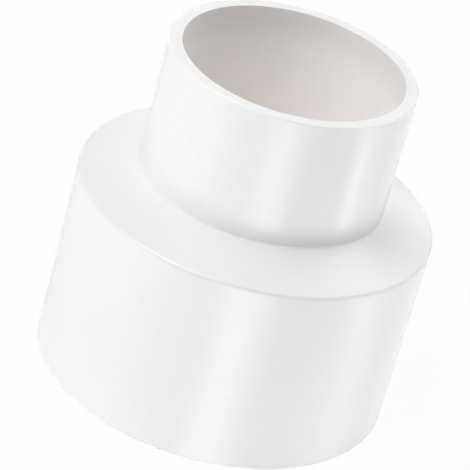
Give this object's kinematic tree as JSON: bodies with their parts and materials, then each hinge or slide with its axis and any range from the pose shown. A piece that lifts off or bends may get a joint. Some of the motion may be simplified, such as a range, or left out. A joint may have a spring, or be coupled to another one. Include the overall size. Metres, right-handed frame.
{
  "type": "pipe reducer",
  "caption": "White PVC concentric pipe reducer: a wide socket, a sloping shoulder and a narrower socket on one axis, for joining a larger drain or vent pipe to a smaller one.",
  "frame": {"origin": "centre of the wide socket's mouth, on the plane of the rim that the part stands on", "axes": "+Z along the axis from the wide socket to the narrow one; X and Y are free, because the part is round"},
  "size_m": [0.0812, 0.0812, 0.0804],
  "materials": {
    "white_pvc": "smooth gloss as moulded, a little duller inside the sockets"
  },
  "bodies": {
    "root": {"reducer_body": "white_pvc"}
  },
  "joints": []
}
